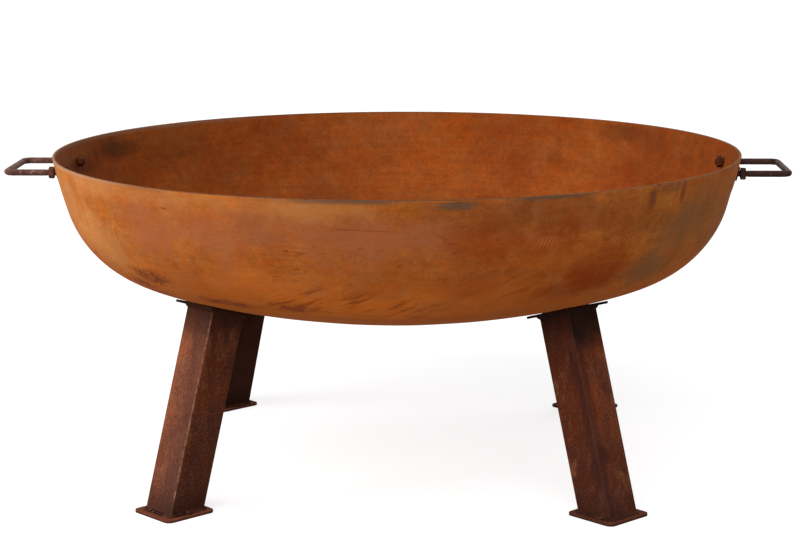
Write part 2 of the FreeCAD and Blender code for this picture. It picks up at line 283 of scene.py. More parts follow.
class Paint:
    """One procedural material. Its methods add nodes. Some give back a socket, others change the colour."""

    def __init__(self, name):
        self.material = bpy.data.materials.new(name)
        self.tree = fresh_tree(self.material)
        self.place = self.node("ShaderNodeTexCoord").outputs["Object"]
        self.x, self.y, self.z = self.parts(self.place)
        self.edge = None
        self.colour = None

    def node(self, kind, **settings):
        made = self.tree.nodes.new(kind)
        for name, value in settings.items():
            setattr(made, name, value)
        return made

    def put(self, socket, value):
        if isinstance(value, bpy.types.NodeSocket):
            self.tree.links.new(value, socket)
        else:
            socket.default_value = value

    def math(self, operation, first, second=0.0):
        made = self.node("ShaderNodeMath", operation=operation)
        self.put(made.inputs[0], first)
        self.put(made.inputs[1], second)
        return made.outputs[0]

    def plus(self, first, second):
        return self.math("ADD", first, second)

    def minus(self, first, second):
        return self.math("SUBTRACT", first, second)

    def times(self, first, second):
        return self.math("MULTIPLY", first, second)

    def larger(self, first, second):
        return self.math("MAXIMUM", first, second)

    def absolute(self, value):
        return self.math("ABSOLUTE", value)

    def vector(self, operation, first, second=(0, 0, 0)):
        made = self.node("ShaderNodeVectorMath", operation=operation)
        self.put(made.inputs[0], first)
        self.put(made.inputs[1], second)
        return made.outputs["Value" if operation in ("LENGTH", "DOT_PRODUCT") else "Vector"]

    def parts(self, vector):
        made = self.node("ShaderNodeSeparateXYZ")
        self.put(made.inputs[0], vector)
        return made.outputs

    def noise(self, scale, detail, roughness, stretch=(1, 1, 1), shift=0, bend=0.0, slant=0):
        """Cloudy value from 0 to 1. A stretch under 1 draws it out along that axis, a slant turns it."""
        where = self.vector("ADD", self.place, shift if isinstance(shift, tuple) else (shift, 0, 0))
        if slant:
            turned = self.node("ShaderNodeVectorRotate", rotation_type="Y_AXIS")
            turned.inputs["Angle"].default_value = math.radians(slant)
            self.put(turned.inputs["Vector"], where)
            where = turned.outputs[0]
        made = self.node("ShaderNodeTexNoise")
        self.put(made.inputs["Vector"], self.vector("MULTIPLY", where, stretch))
        self.put(made.inputs["Scale"], scale)
        self.put(made.inputs["Detail"], detail)
        self.put(made.inputs["Roughness"], roughness)
        self.put(made.inputs["Distortion"], bend)
        return made.outputs[0]

    def ramp(self, value, low, high, bottom=0.0, top=1.0):
        """Smooth step from bottom to top while the value goes from low to high, which may lie below low."""
        made = self.node("ShaderNodeMapRange", interpolation_type="SMOOTHSTEP", clamp=True)
        self.put(made.inputs["Value"], value)
        self.put(made.inputs["From Min"], low)
        self.put(made.inputs["From Max"], high)
        self.put(made.inputs["To Min"], bottom)
        self.put(made.inputs["To Max"], top)
        return made.outputs["Result"]

    def by_side(self, left, right):
        """One value on the left of the object and another on its right."""
        return self.ramp(self.x, -SIDE_BLUR, SIDE_BLUR, left, right)

    def sway(self, cloud, width):
        """A cloud made to swing about 0, over a given width in all."""
        return self.times(self.minus(cloud, 0.5), width)

    def lines(self, value, outer, inner):
        """1 where a value is within inner of a half, 0 where it is outer or further away."""
        return self.ramp(self.absolute(self.minus(value, 0.5)), outer, inner)

    def mix(self, factor, first, second, blend="MIX"):
        """Mix of two colours, each a socket or three display values."""
        made = self.node("ShaderNodeMix", data_type="RGBA", blend_type=blend)
        self.put(made.inputs[0], factor)
        for socket, colour in ((made.inputs[6], first), (made.inputs[7], second)):
            self.put(socket, srgb(*colour) if isinstance(colour, tuple) else colour)
        return made.outputs[2]

    def start(self, cloud, low, high, first, second):
        """Begin with a colour that goes over into a second one as a cloud goes from low to high."""
        self.colour = self.mix(self.ramp(cloud, low, high), first, second)

    def tint(self, amount, strength, other):
        """Move the colour towards another by an amount times a strength."""
        self.colour = self.mix(self.times(amount, strength), self.colour, other)

    def tint_by(self, value, low, high, strength, other):
        """Move the colour towards another as a value goes from low to high."""
        self.tint(self.ramp(value, low, high), strength, other)

    def shade(self, cloud, low, high):
        """Make the colour darker or lighter by a grey that runs from low to high with a cloud."""
        grey = self.node("ShaderNodeCombineColor")
        level = self.ramp(cloud, CLOUD_LOW, CLOUD_HIGH, low, high)
        for socket in grey.inputs:
            self.put(socket, level)
        self.colour = self.mix(1.0, self.colour, grey.outputs[0], "MULTIPLY")

    def hue(self, cloud, green, blue):
        """Make the colour greyer or richer: a cloud moves its green and blue up and down by two shares."""
        tone = self.node("ShaderNodeCombineColor")
        tone.inputs[0].default_value = 1.0
        for socket, share in ((tone.inputs[1], green), (tone.inputs[2], blue)):
            self.put(socket, self.ramp(cloud, CLOUD_LOW, CLOUD_HIGH, 1 - share, 1 + share))
        self.colour = self.mix(1.0, self.colour, tone.outputs[0], "MULTIPLY")

    def blot(self, azimuth, height, half_width, half_height, ragged, inset=0.0):
        """Soft blot on the bowl's wall, 1 in the middle and 0 outside. One cloud makes all edges ragged."""
        if self.edge is None:
            self.edge = self.minus(self.noise(26, 8, 0.74, stretch=(1, 1, 1.4), bend=0.5), 0.5)
        offset = self.vector("SUBTRACT", self.place, on_wall(azimuth, height, inset))
        offset = self.vector("DIVIDE", offset, (half_width, half_width, half_height))
        away = self.plus(self.vector("LENGTH", offset), self.times(self.edge, ragged))
        return self.ramp(away, BLOT_OUTER, BLOT_INNER)

    def blots(self, amount, places, half_height, ragged):
        """The larger of an amount and the blots at some places."""
        for azimuth, height, half_width in places:
            amount = self.larger(amount, self.blot(azimuth, height, half_width, half_height, ragged))
        return amount

    def rough(self, cloud, low, high):
        """Roughness that runs from low to high with a cloud."""
        return self.ramp(cloud, 0.3, 0.7, low, high)

    def finish(self, roughness, relief, strength, reach, specular=0.08):
        """The material, with a bump of a given strength and reach made from the relief."""
        shader = self.node("ShaderNodeBsdfPrincipled")
        self.put(shader.inputs["Base Color"], self.colour)
        self.put(shader.inputs["Roughness"], roughness)
        shader.inputs["Specular IOR Level"].default_value = specular
        bump = self.node("ShaderNodeBump")
        bump.inputs["Strength"].default_value = strength
        bump.inputs["Distance"].default_value = reach
        self.put(bump.inputs["Height"], relief)
        self.put(shader.inputs["Normal"], bump.outputs[0])
        out = self.node("ShaderNodeOutputMaterial")
        self.put(out.inputs["Surface"], shader.outputs[0])
        return self.material


def rust_ground(paint, light, middle, dark, bloom, shift):
    """Cloudy rust: broad drifts of light and middle brown, darker clouds, a paler bloom, and fine grain."""
    def beside(step):
        return (shift[0] + step, shift[1], shift[2])
    drift = paint.noise(3.4, 4, 0.55, stretch=(1, 1, 1.5), shift=shift, bend=0.5)
    haze = paint.noise(6.5, 6, 0.64, stretch=(1, 1, 1.4), shift=beside(3.1), bend=1.1)
    cloud = paint.noise(12, 7, 0.68, stretch=(1, 1, 1.5), shift=beside(5.3), bend=0.8)
    wisp = paint.noise(19, 7, 0.66, stretch=(1, 1, 2.4), shift=beside(8.7), bend=1.2)
    paint.start(drift, 0.36, 0.64, light, middle)
    paint.tint_by(haze, 0.5, 0.66, 0.45, bloom)
    paint.tint_by(cloud, 0.5, 0.72, 0.45, dark)
    paint.tint_by(wisp, 0.53, 0.72, 0.45, light)
    mottle = paint.noise(44, 5, 0.66, shift=beside(1.9))
    fuzz = paint.noise(105, 5, 0.7)
    grain = paint.noise(380, 3, 0.7)
    paint.shade(mottle, 0.91, 1.09)
    paint.shade(fuzz, 0.88, 1.12)
    paint.shade(grain, 0.86, 1.14)
    tinge = paint.noise(21, 7, 0.74, stretch=(1, 1, 1.3), shift=beside(13.9), bend=0.6)
    blush = paint.noise(62, 7, 0.78, shift=beside(11.3))
    fleck = paint.noise(240, 4, 0.75, shift=beside(17.3))
    paint.hue(tinge, 0.13, 0.45)
    paint.hue(blush, 0.14, 0.42)
    paint.hue(fleck, 0.08, 0.24)
    return grain, fuzz


def stained(paint, stains, inset=0.0):
    """Lay a table's stains on the wall, outside or, with the wall's thickness as inset, inside."""
    for stain, places in stains.items():
        for azimuth, height, half_width, half_height, strength in places:
            blot = paint.blot(azimuth, height, half_width, half_height, STAIN_RAGGED, inset)
            paint.tint(blot, strength, stain)


def bowl_smears(paint):
    """Wiped bands down the wall, wisps and curled smears on the left, slanting streaks low in front."""
    wiped = paint.noise(1, 5, 0.62, stretch=(26, 26, 7), shift=4.1)
    paint.tint_by(wiped, 0.52, 0.64, 0.3, (158, 95, 54))
    wisps = paint.noise(1, 6, 0.7, stretch=(30, 30, 10), shift=7.7, bend=1.0)
    where = paint.blot(-150, 0.345, 0.13, 0.07, SMEAR_RAGGED)
    paint.tint(paint.times(paint.ramp(wisps, 0.48, 0.62), where), 0.45, (150, 88, 36))
    marbling = paint.noise(17, 3, 0.62, stretch=(1, 1, 2), shift=2.2, bend=2.2)
    curls = paint.lines(marbling, 0.075, 0.005)
    for azimuth, height, half_width, half_height in CURLED_SMEARS:
        where = paint.blot(azimuth, height, half_width, half_height, SMEAR_RAGGED)
        paint.tint(paint.times(curls, where), 0.75, (106, 46, 24))
    streaks = paint.ramp(paint.noise(1, 5, 0.66, stretch=(19, 19, 150), slant=26), 0.49, 0.66)
    for azimuth, height, half_width in LOW_STREAKS:
        where = paint.blot(azimuth, height, half_width, 0.024, SMEAR_RAGGED)
        paint.tint(paint.times(streaks, where), 0.6, (118, 48, 16))


def below_rim(paint):
    return paint.minus(RIM_HEIGHT, paint.z)


def bowl_rim_marks(paint):
    """Grey rubbed along the rim, a painted highlight at the far left, with smears in front and dark runs
    under it.
    """
    below = below_rim(paint)
    rubbed = paint.ramp(paint.noise(6, 6, 0.65, shift=0.9), 0.46, 0.6, 0.0, 0.35)
    rubbed = paint.blots(rubbed, RUBBED_RIM, 0.02, 1.2)
    paint.tint(paint.times(paint.ramp(below, 0.0075, 0.0015), rubbed), 0.8, (84, 68, 52))
    # A pale band under the rim at the far left is a painted highlight on the edge turned to the light
    far_left = paint.ramp(paint.x, -0.26, -0.38)
    paint.tint(paint.times(paint.ramp(below, 0.006, 0.001), far_left), 0.5, (190, 138, 102))
    thick_smear = paint.blot(-79.4, 0.394, 0.026, 0.0065, 1.0)
    paint.tint(thick_smear, 0.85, (92, 72, 54))
    soot_band = paint.blot(-42, 0.396, 0.036, 0.009, SMEAR_RAGGED)
    paint.tint(soot_band, 0.45, (96, 62, 46))
    for azimuth, height, half_width in RIM_RUNS:
        run = paint.blot(azimuth, height, half_width, 0.02, SMEAR_RAGGED)
        paint.tint(run, 0.7, (98, 50, 36))

    # Short runs elsewhere under the rim, drawn out downwards
    drops = paint.ramp(paint.noise(1, 3, 0.55, stretch=(42, 42, 5)), 0.6, 0.74)
    paint.tint(paint.times(drops, paint.ramp(below, 0.04, 0.003)), 0.4, (98, 58, 40))


def bowl_scratches(paint):
    """A row of short slanting scratches at the right, and a long hairline in front."""
    azimuth = -65
    around = math.radians(azimuth)
    slant = -0.32
    spacing = 0.0046
    along = paint.vector("DOT_PRODUCT", paint.place, (-math.sin(around), math.cos(around), slant))
    phase = paint.math("FRACT", paint.math("DIVIDE", along, spacing))
    row = paint.blot(azimuth, 0.347, 0.015, 0.0085, 0.5)
    paint.tint(paint.times(paint.lines(phase, 0.24, 0.08), row), 0.9, (180, 98, 48))

    hair_height = 0.366
    hair_slope = -0.035
    level = paint.minus(paint.minus(paint.z, paint.times(paint.x, hair_slope)), hair_height)
    hair = paint.ramp(paint.absolute(level), 0.0009, 0.0002)
    where = paint.blot(-92, hair_height, 0.055, 0.02, 0.8)
    paint.tint(paint.times(hair, where), 0.45, (96, 50, 32))


def bowl_outside_paint():
    paint = Paint("bowl_outside_rust")
    grain, fuzz = rust_ground(paint, light=(168, 94, 34), middle=(152, 78, 28), dark=(122, 60, 22),
                              bloom=(152, 87, 50), shift=(0, 0, 0))

    # Brush strokes run round the bowl, and the bottom is painted brighter: painted light from the floor below
    # it
    strokes = paint.noise(1, 4, 0.6, stretch=(9, 9, 330))
    wide_strokes = paint.noise(1, 3, 0.5, stretch=(5, 5, 70), shift=1.7)
    cross_strokes = paint.noise(1, 4, 0.65, stretch=(40, 40, 300), shift=5.1, slant=24)
    paint.shade(strokes, 0.94, 1.06)
    paint.shade(wide_strokes, 0.94, 1.05)
    paint.shade(cross_strokes, 0.93, 1.07)
    paint.tint_by(paint.z, 0.325, 0.265, 0.45, (194, 97, 28))
    stained(paint, OUTSIDE_STAINS)
    bowl_smears(paint)
    bowl_rim_marks(paint)
    bowl_scratches(paint)

    # Fine grain of the brush over the stains, short dark dashes in clusters, and pits
    brushed = paint.noise(1, 6, 0.72, stretch=(34, 34, 190), shift=9.2)
    paint.hue(brushed, 0.06, 0.22)
    dashes = paint.noise(1, 3, 0.55, stretch=(70, 70, 380), shift=2.4)
    clusters = paint.ramp(paint.noise(9, 4, 0.6, shift=6), 0.48, 0.64)
    clusters = paint.blots(clusters, DASH_CLUSTERS, 0.018, 1.8)
    paint.tint(paint.times(paint.ramp(dashes, 0.6, 0.72), clusters), 0.65, (88, 42, 20))
    pits = paint.noise(230, 2, 0.5, shift=2)
    paint.tint_by(pits, 0.7, 0.76, 0.45, (78, 38, 20))
    relief = paint.plus(grain, paint.times(strokes, 0.6))
    return paint.finish(paint.rough(fuzz, 0.82, 0.96), relief, 0.2, 0.0006)


def bowl_inside_paint():
    paint = Paint("bowl_inside_rust")
    grain, fuzz = rust_ground(paint, light=(136, 67, 21), middle=(119, 54, 15), dark=(90, 42, 14),
                              bloom=(116, 62, 29), shift=(7, 2, 0))
    strokes = paint.noise(1, 4, 0.6, stretch=(8, 8, 210), shift=3)
    paint.shade(strokes, 0.93, 1.07)

    # Soot from the bottom up, stains, a pale edge at the far left, and grey ash in the middle
    licks = paint.noise(1, 5, 0.6, stretch=(10, 10, 3.5), shift=(1, 4, 0))
    reach = paint.plus(paint.z, paint.sway(licks, 0.14))
    paint.tint_by(reach, 0.31, 0.2, 0.7, (56, 33, 23))
    stained(paint, INSIDE_STAINS, WALL)
    edge = paint.ramp(below_rim(paint), 0.007, 0.001)
    far_left = paint.ramp(paint.x, -0.15, -0.35)
    paint.tint(paint.times(edge, far_left), 0.55, (132, 106, 88))
    ash = paint.ramp(paint.noise(16, 8, 0.7, shift=6), 0.4, 0.7)
    paint.tint(paint.times(paint.ramp(paint.z, 0.245, 0.203), ash), 0.25, (112, 92, 78))
    return paint.finish(paint.rough(fuzz, 0.84, 0.97), grain, 0.28, 0.0008)


def lip_paint():
    paint = Paint("bowl_lip_worn")
    stretches = paint.noise(9, 6, 0.62, shift=0.4)
    paint.start(stretches, 0.4, 0.62, (108, 62, 35), (84, 61, 44))
    paint.tint_by(paint.x, 0.1, 0.32, 0.45, (134, 94, 62))
    # The lip is paler at the far left: a painted highlight where it turns to the light
    paint.tint_by(paint.x, -0.22, -0.38, 0.7, (152, 114, 88))
    nicks = paint.noise(90, 3, 0.6)
    paint.tint_by(nicks, 0.58, 0.68, 0.6, (64, 42, 30))
    grain = paint.noise(400, 2, 0.6)
    paint.shade(grain, 0.88, 1.1)
    return paint.finish(paint.rough(grain, 0.8, 0.95), grain, 0.2, 0.0004, 0.05)


def leg_place(paint):
    """Place on a leg's own axes, alike for all four legs: along the lean, across it, and up the tube."""
    folded = paint.node("ShaderNodeCombineXYZ")
    paint.put(folded.inputs[0], paint.absolute(paint.x))
    paint.put(folded.inputs[1], paint.absolute(paint.y))
    paint.put(folded.inputs[2], paint.z)
    back = leg_frame(LEG_TURNS["back_right"]).inverted()
    turn = paint.node("ShaderNodeMapping", vector_type="POINT")
    turn.inputs["Location"].default_value = back.to_translation()
    turn.inputs["Rotation"].default_value = back.to_euler("XYZ")
    paint.put(turn.inputs["Vector"], folded.outputs[0])
    return paint.parts(turn.outputs[0])


def leg_paint():
    paint = Paint("leg_rust")
    grain, fuzz = rust_ground(paint, light=(116, 59, 32), middle=(94, 44, 23), dark=(58, 26, 15),
                              bloom=(104, 56, 34), shift=(2, 5, 0))
    along, across, up = leg_place(paint)
    right = paint.by_side(0, 1)
    left = paint.minus(1.0, right)
    half = TUBE_SIDE / 2
    face_start = half * 0.94
    face_end = half * 0.98
    outer_face = paint.ramp(along, face_start, face_end)
    near_face = paint.ramp(across, face_start, face_end)
    inner_face = paint.ramp(along, -face_start, -face_end)
    far_face = paint.ramp(across, -face_start, -face_end)
    shaded_faces = paint.larger(inner_face, far_face)
    open_side = paint.minus(1.0, shaded_faces)

    # Painted shade: dark on the two faces turned in under the bowl, darker and redder on the face beside the
    # lean, which lies in shade. Darker towards the ground
    paint.tint(shaded_faces, 0.8, (44, 20, 11))
    paint.tint(near_face, 0.55, (56, 21, 11))
    low = paint.mix(paint.larger(right, near_face), (62, 33, 27), (56, 25, 14))
    paint.tint_by(paint.z, 0.15, 0.01, 0.7, low)

    # Orange smudges and dark blotches drawn out along the tube, fine pale dust and freckles of bright rust
    smudges = paint.noise(22, 7, 0.72, stretch=(1, 1, 0.55), shift=8)
    paint.tint_by(smudges, 0.52, 0.66, paint.times(open_side, 0.4), (152, 96, 66))
    blotches = paint.noise(19, 7, 0.74, stretch=(1, 1, 0.5), shift=4, bend=0.6)
    paint.tint_by(blotches, 0.48, 0.6, 0.5, (66, 37, 29))
    dust = paint.noise(560, 3, 0.7, shift=7)
    dusty = paint.times(open_side, paint.by_side(0.4, 0.14))
    dusty = paint.times(dusty, paint.ramp(near_face, 0.0, 1.0, 1.0, 0.5))
    paint.tint_by(dust, 0.48, 0.68, dusty, (156, 108, 86))
    freckles = paint.noise(430, 2, 0.5, shift=1)
    paint.tint_by(freckles, 0.6, 0.72, paint.times(open_side, 0.28), (154, 86, 54))

    # Left legs: violet-grey beside the outer corner and pink powder beyond it. Right legs: a dark corner
    wander = paint.sway(blotches, 0.08)
    from_near_face = paint.plus(paint.minus(half, across), wander)
    from_outer_face = paint.plus(paint.minus(half, along), wander)
    violet = paint.times(paint.ramp(from_near_face, 0.038, 0.012), outer_face)
    paint.tint(violet, paint.times(left, 0.7), (78, 48, 39))
    powder = paint.times(paint.ramp(from_near_face, 0.016, 0.042), outer_face)
    powder = paint.times(powder, paint.ramp(paint.z, 0.03, 0.13))
    paint.tint(powder, paint.times(left, 0.18), (148, 98, 72))
    from_corner = paint.larger(from_near_face, from_outer_face)
    paint.tint_by(from_corner, 0.016, 0.003, paint.times(right, 0.6), (46, 25, 24))

    # Painted shade of the bowl on the tops of the legs, darkest on the right legs, and darker at the foot
    top_wobble = paint.noise(24, 5, 0.6, shift=(0, 1, 0))
    top = paint.plus(up, paint.sway(top_wobble, 0.06))
    reach = paint.times(paint.minus(outer_face, near_face), paint.times(right, 0.014))
    top_shade = paint.mix(right, (48, 25, 18), (16, 9, 6))
    paint.tint_by(paint.plus(top, reach), -0.056, -0.008, paint.by_side(0.8, 0.88), top_shade)
    paint.tint_by(paint.z, 0.04, 0.006, paint.by_side(0.55, 0.3), (34, 17, 13))

    # Corners rubbed pale in broken lines, most on the left legs, where the pale corners are partly a painted
    # highlight
    corner = paint.math("MINIMUM", paint.absolute(along), paint.absolute(across))
    broken = paint.ramp(paint.noise(60, 5, 0.7, shift=(0, 0, 1)), 0.4, 0.6, 0.1, 0.8)
    rub_and_highlight = paint.times(paint.ramp(corner, half * 0.9, half * 0.98), broken)
    rub_and_highlight = paint.times(rub_and_highlight, paint.by_side(1.0, 0.06))
    paint.tint(rub_and_highlight, paint.ramp(top, -0.004, -0.024), (170, 126, 104))

    # Runs down the tube and dark scale
    runs = paint.noise(1, 4, 0.6, stretch=(60, 60, 6))
    paint.shade(runs, 0.84, 1.14)
    scale = paint.noise(330, 3, 0.65, shift=3)
    paint.tint_by(scale, 0.54, 0.66, 0.55, (46, 24, 18))
    return paint.finish(paint.rough(fuzz, 0.8, 0.95), grain, 0.32, 0.0008, 0.06)


def plate_paint():
    paint = Paint("plate_rust")
    grain, fuzz = rust_ground(paint, light=(108, 60, 43), middle=(88, 46, 33), dark=(62, 32, 24),
                              bloom=(98, 66, 54), shift=(9, 1, 0))
    # Painted shade: the plates on the right are darker, and the top plates under the bowl darker still
    right = paint.by_side(0, 1)
    paint.tint(right, 0.55, (56, 28, 14))
    shade_under_bowl = paint.mix(right, (46, 22, 13), (30, 15, 10))
    paint.tint_by(paint.z, FEET_END, TOPS_START, 0.92, shade_under_bowl)
    paint.tint_by(paint.z, 0.003, 0.0014, 0.72, (46, 25, 18))
    freckles = paint.noise(260, 2, 0.5)
    paint.tint_by(freckles, 0.64, 0.72, 0.3, (150, 92, 66))
    return paint.finish(paint.rough(fuzz, 0.8, 0.95), grain, 0.35, 0.0008, 0.05)


def weld_paint():
    paint = Paint("weld_rust")
    blotch = paint.noise(60, 5, 0.65)
    paint.start(blotch, 0.35, 0.65, (64, 34, 25), (40, 21, 16))
    bright = paint.noise(300, 2, 0.5, shift=2)
    paint.tint_by(bright, 0.62, 0.7, 0.3, (156, 106, 80))
    # Painted shade: the top beads under the bowl are darker, most on the right
    shade_under_bowl = paint.mix(paint.by_side(0, 1), (56, 27, 17), (32, 16, 11))
    paint.tint_by(paint.z, FEET_END, TOPS_START, 0.85, shade_under_bowl)
    grain = paint.noise(420, 3, 0.6)
    return paint.finish(paint.rough(grain, 0.78, 0.92), grain, 0.25, 0.0005, 0.05)


def handle_paint():
    paint = Paint("handle_oxide")
    blotch = paint.noise(46, 6, 0.65)
    paint.start(blotch, 0.36, 0.64, (98, 62, 54), (64, 40, 34))
    rust = paint.noise(120, 5, 0.65, shift=1)
    paint.tint_by(rust, 0.54, 0.68, 0.45, (104, 60, 44))
    # Pale worn spots, partly painted highlights on the rods
    wear_and_highlight = paint.noise(210, 4, 0.7, shift=3)
    paint.tint_by(wear_and_highlight, 0.54, 0.68, 0.5, (164, 122, 112))
    # The right handle is painted darker: painted shade on the side away from the light
    paint.tint(paint.by_side(0, 1), 0.78, (36, 20, 15))

    # Redder inside the wall
    wall = on_wall(0, HANDLE_HEIGHT)[0]
    paint.tint_by(paint.absolute(paint.x), wall, wall - WALL, 0.85, (84, 42, 20))
    grain = paint.noise(500, 3, 0.6)
    paint.shade(grain, 0.86, 1.12)
    return paint.finish(paint.rough(blotch, 0.55, 0.75), grain, 0.2, 0.0004)


def hardware_paint(name, pale, dark, right_shade, specular):
    """Rusted fasteners, with painted shade that makes them darker on the right by the given share."""
    paint = Paint(name)
    blotch = paint.noise(110, 5, 0.65)
    paint.start(blotch, 0.36, 0.64, pale, dark)
    rust = paint.noise(260, 4, 0.65, shift=1)
    paint.tint_by(rust, 0.55, 0.68, 0.45, (106, 56, 32))
    paint.tint(paint.by_side(0, 1), right_shade, (28, 16, 12))
    grain = paint.noise(600, 3, 0.6)
    return paint.finish(paint.rough(blotch, 0.55, 0.78), grain, 0.2, 0.0003, specular)


def paint_node(name, material):
    mesh = nodes[name].data
    mesh.materials.clear()
    mesh.materials.append(material)


# Bowl: the turned shell, beaten very slightly out of true

def knuckle_centre():
    """Centre of the knuckle arc as (radius, height), touching the side and the crown from within."""
    from_side = SIDE_RADIUS - KNUCKLE_RADIUS
    from_crown = CROWN_RADIUS - KNUCKLE_RADIUS
    ahead = Vector((0 - SIDE_X, CROWN_Z - SIDE_Z))
    distance = ahead.length
    ahead.normalize()
    along = (from_side ** 2 - from_crown ** 2 + distance ** 2) / (2 * distance)
    across = math.sqrt(from_side ** 2 - along ** 2)
    return Vector((SIDE_X, SIDE_Z)) + ahead * along + Vector((ahead.y, -ahead.x)) * across


def shell_line(inset):
    """Points (radius, height, normal's angle from straight down) from the drain hole to below the lip."""
    knuckle = knuckle_centre()
    crown_end = math.atan2(knuckle.x, CROWN_Z - knuckle.y)
    side_start = math.atan2(knuckle.x - SIDE_X, SIDE_Z - knuckle.y)
    drain = math.asin(DRAIN_RADIUS / (CROWN_RADIUS - inset))
    rim = math.acos((SIDE_Z - RIM_HEIGHT + LIP_ROUND) / (SIDE_RADIUS - inset))
    arcs = [
        (Vector((0, CROWN_Z)), CROWN_RADIUS - inset, drain, crown_end, CROWN_STEPS),
        (knuckle, KNUCKLE_RADIUS - inset, crown_end, side_start, KNUCKLE_STEPS),
        (Vector((SIDE_X, SIDE_Z)), SIDE_RADIUS - inset, side_start, rim, SIDE_STEPS),
    ]
    line = []
    for centre, radius, start, finish, steps in arcs:
        for step in range(steps):
            angle = start + (finish - start) * step / steps
            line.append((centre.x + radius * math.sin(angle), centre.y - radius * math.cos(angle), angle))
    line.append((SIDE_X + (SIDE_RADIUS - inset) * math.sin(rim), RIM_HEIGHT - LIP_ROUND, rim))
    return line


def lip_corner(radius, out, angle):
    """Points of one rounded corner of the lip, from the wall up to the top."""
    corner = []
    for step in range(1, LIP_STEPS + 1):
        turn = math.radians(90 * step / LIP_STEPS)
        corner.append((radius - out * LIP_ROUND * (1 - math.cos(turn)),
                       RIM_HEIGHT - LIP_ROUND + LIP_ROUND * math.sin(turn), angle))
    return corner


def seats():
    """Places where the wall keeps its true shape, because something is bolted on: (point, radius)."""
    places = []
    for turn in LEG_TURNS.values():
        places.append((leg_frame(turn).to_translation(), FOOT_PLATE_SIDE))
    x = math.sqrt(on_wall(0, HANDLE_HEIGHT)[0] ** 2 - HANDLE_HALF ** 2)
    for sign in HANDLE_SIDES.values():
        for side in (-1, 1):
            places.append((Vector((sign * x, side * HANDLE_HALF, HANDLE_HEIGHT)), 2 * WASHER_RADIUS))
    return places


def make_dents():
    """Shallow round dents at random places: (point, radius, depth)."""
    draw = random.Random(DENT_SEED)
    dents = []
    for _ in range(DENT_COUNT):
        azimuth = draw.uniform(0, 360)
        height = draw.uniform(*DENT_HEIGHTS)
        radius = draw.uniform(*DENT_RADII)
        depth = draw.uniform(*DENT_DEPTHS)
        dents.append((Vector(on_wall(azimuth, height)), radius, depth))
    return dents


def beaten(point, dents, keep):
    """How far the shell stands out of true at a point, in metres."""
    swell = 0.0
    for scale, height, shift in SWELLS:
        swell += noise.noise(point * scale + Vector(shift)) * height
    for centre, radius, depth in dents:
        away = (point - centre).length / radius
        if away < 1:
            swell -= depth * (1 - away * away) ** 2
    for centre, radius in keep:
        away = (point - centre).length / radius
        swell *= min(1.0, max(0.0, (away - 1) / SEAT_FADE))
    return swell


def make_bowl(materials):
    outside = shell_line(0)
    inside = shell_line(WALL)
    rim_angle = outside[-1][2]
    lip = lip_corner(outside[-1][0], 1, rim_angle) + lip_corner(inside[-1][0], -1, rim_angle)[::-1]
    dents = make_dents()
    keep = seats()
    rings = []
    for radius, height, angle in outside + lip + inside[::-1]:
        ring = []
        for step in range(BOWL_SEGMENTS):
            around = 2 * math.pi * step / BOWL_SEGMENTS
            level = Vector((math.cos(around), math.sin(around), 0))
            normal = level * math.sin(angle) - Vector((0, 0, math.cos(angle)))
            point = level * radius + Vector((0, 0, height))
            ring.append(point + normal * beaten(point, dents, keep))
        rings.append(ring)
    mesh = ring_mesh("bowl_shell", rings, True, *materials)
    first_lip = len(outside) - 1
    last_lip = len(outside) + len(lip)
    for index, face in enumerate(mesh.polygons):
        ring = index // BOWL_SEGMENTS
        face.material_index = 0 if ring < first_lip else 1 if ring < last_lip else 2
    return dressed("bowl_shell", mesh, "bowl_steel", "bowl")


# Legs: rippled weld beads round both ends of each tube, and spatter on the foot plates

def leg_frame(turn):
    """Axes of a leg: origin where its axis meets the bowl, Z up the tube, X along the lean."""
    spin = Matrix.Rotation(math.radians(turn), 4, "Z")
    lean = Matrix.Rotation(-LEAN, 4, "Y")
    seat = Matrix.Translation((LEG_SEAT_RADIUS, 0, CROWN_Z - CROWN_RADIUS * math.cos(LEAN)))
    return spin @ seat @ lean


def rounded_square(length, width, radius, spacing):
    """Points round a rounded rectangle, each with its outward normal, evenly along the straight runs."""
    corners = ((1, 1), (-1, 1), (-1, -1), (1, -1))
    centres = [Vector((x * (length / 2 - radius), y * (width / 2 - radius))) for x, y in corners]
    points = []
    for index, centre in enumerate(centres):
        for step in range(CORNER_STEPS + 1):
            angle = math.radians(90 * index + 90 * step / CORNER_STEPS)
            normal = Vector((math.cos(angle), math.sin(angle)))
            points.append((centre + normal * radius, normal))
        run = centres[(index + 1) % len(centres)] - centre
        count = int(run.length / spacing)
        for step in range(1, count):
            points.append((centre + normal * radius + run * step / count, normal))
    return points


def weld_bead(name, axes, upward, length, width, seed, replaced, material):
    """Rippled bead in the corner between a plate, the XY plane of the axes, and the tube along upward."""
    start = Vector((seed * WOBBLE_STEP, WOBBLE_SHIFT, 0))
    loop = rounded_square(length, width, TUBE_CORNER, BEAD_SPACING)
    rings = []
    walked = 0.0
    last = loop[-1][0]
    for point, normal in loop:
        walked += (point - last).length
        last = point
        phase = walked / RIPPLE_LENGTH % 1.0
        base = point.to_3d()
        outward = normal.to_3d()
        ripple = BEAD_RIPPLE * math.sqrt(1 - phase * phase * RIPPLE_DROP)
        wobble = BEAD_WOBBLE * noise.noise(start + base * WOBBLE_SCALE)
        size = WELD_LEG * (BEAD_BODY + ripple + wobble)
        root = base - outward * BEAD_ROOT
        ring = [root]
        for step in range(BEAD_STEPS + 1):
            angle = math.radians(90 * step / BEAD_STEPS)
            reach = size * (1 - BEAD_HOLLOW * math.sin(2 * angle))
            ring.append(base + outward * (reach * math.cos(angle)) + upward * (reach * math.sin(angle)))
        ring.append(root + upward * size)
        rings.append([axes @ spot for spot in ring])
    return dressed(name, ring_mesh(name, rings, True, material), "weld_metal", replaced)


